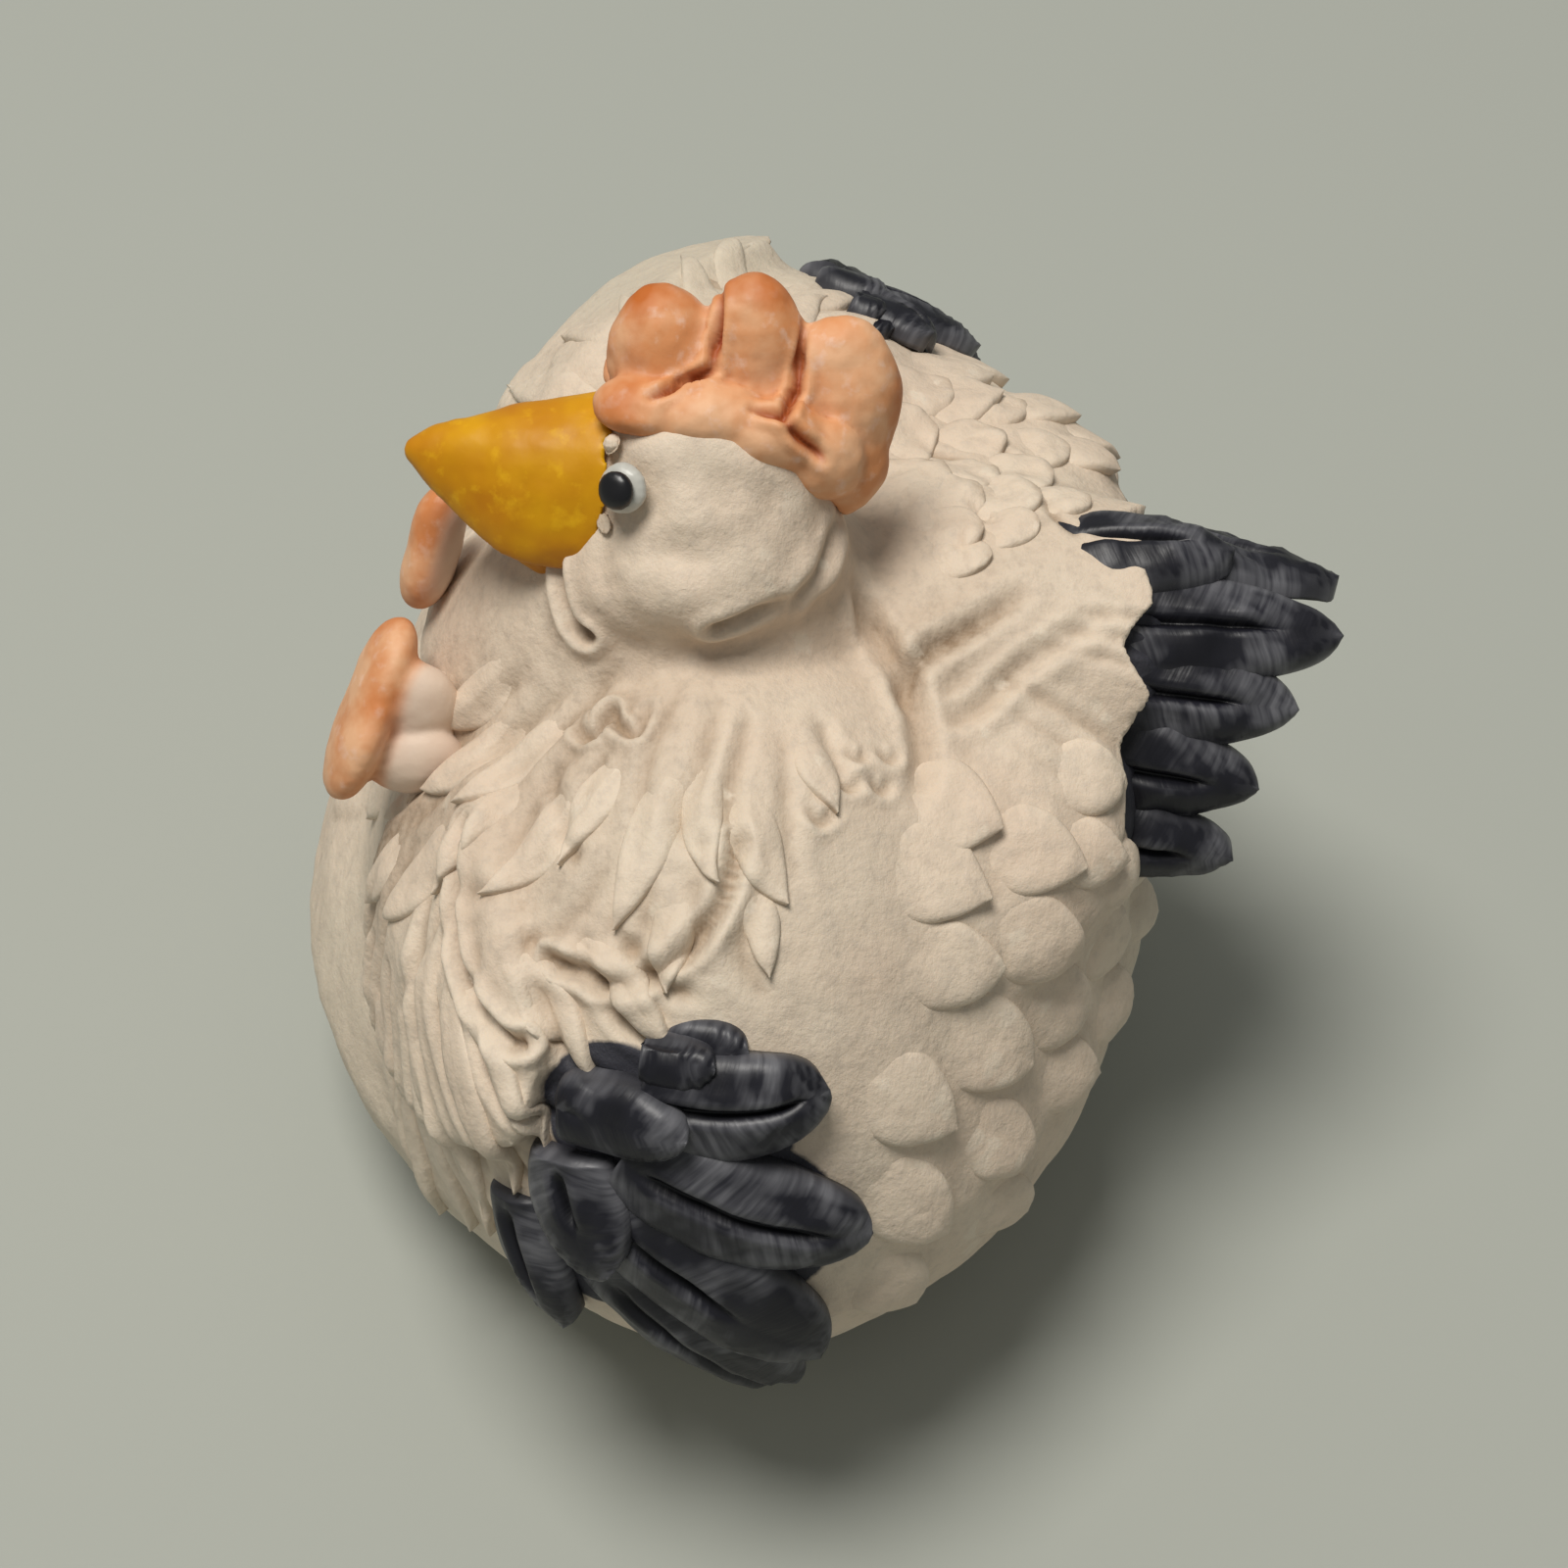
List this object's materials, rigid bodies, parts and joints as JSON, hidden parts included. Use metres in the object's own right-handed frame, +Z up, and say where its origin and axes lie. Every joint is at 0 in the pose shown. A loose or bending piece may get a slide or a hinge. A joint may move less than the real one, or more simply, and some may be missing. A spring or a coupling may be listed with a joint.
{
  "type": "sitting hen figurine",
  "caption": "Fat sitting hen figurine in hand-modelled clay, with a lobed comb, wattles, fanned black wing and tail feathers and a flat base.",
  "frame": {"origin": "centre of the flat base that the hen rests on", "axes": "+Z up, -Y the way the hen faces, +X its left wing"},
  "size_m": [0.0729, 0.0572, 0.0551],
  "materials": {
    "white_clay": "matt warm off-white baked clay with thumb-smoothed dents, knife strokes and a brown wash left in the creases",
    "black_feather_clay": "charcoal painted clay, dry-brushed grey on the ribs, with dark quill grooves",
    "comb_clay": "matt salmon paint with burnt-orange patches rubbed into the folds",
    "beak_clay": "yellow paint with an orange wash near the tip and mouth line",
    "eye_bead": "pale glossy bead",
    "pupil_bead": "glossy black dot"
  },
  "bodies": {
    "root": {"torso": "white_clay", "neck_and_head": "white_clay", "left_wing": "white_clay", "right_wing": "white_clay", "tail_root": "white_clay", "comb_saddle": "comb_clay", "comb_lobe_front": "comb_clay", "comb_lobe_middle": "comb_clay", "comb_lobe_rear": "comb_clay", "upper_beak": "beak_clay", "lower_beak": "beak_clay", "left_eye": "eye_bead", "right_eye": "eye_bead", "left_pupil": "pupil_bead", "right_pupil": "pupil_bead", "left_beak_beads": "white_clay", "right_beak_beads": "white_clay", "left_wattle": "comb_clay", "right_wattle": "comb_clay", "back_scales": "white_clay", "left_flank_scales": "white_clay", "right_flank_scales": "white_clay", "breast_tufts": "white_clay", "left_wing_feather_1": "black_feather_clay", "left_wing_feather_2": "black_feather_clay", "left_wing_feather_3": "black_feather_clay", "left_wing_feather_4": "black_feather_clay", "left_wing_feather_5": "black_feather_clay", "left_wing_feather_6": "black_feather_clay", "left_wing_feather_7": "black_feather_clay", "left_wing_feather_8": "black_feather_clay", "left_wing_feather_9": "black_feather_clay", "right_wing_feather_1": "black_feather_clay", "right_wing_feather_2": "black_feather_clay", "right_wing_feather_3": "black_feather_clay", "right_wing_feather_4": "black_feather_clay", "right_wing_feather_5": "black_feather_clay", "right_wing_feather_6": "black_feather_clay", "right_wing_feather_7": "black_feather_clay", "right_wing_feather_8": "black_feather_clay", "right_wing_feather_9": "black_feather_clay", "tail_feather_centre": "black_feather_clay", "left_tail_feather_1": "black_feather_clay", "left_tail_feather_2": "black_feather_clay", "left_tail_feather_3": "black_feather_clay", "left_tail_feather_4": "black_feather_clay", "right_tail_feather_1": "black_feather_clay", "right_tail_feather_2": "black_feather_clay", "right_tail_feather_3": "black_feather_clay", "right_tail_feather_4": "black_feather_clay"}
  },
  "joints": []
}
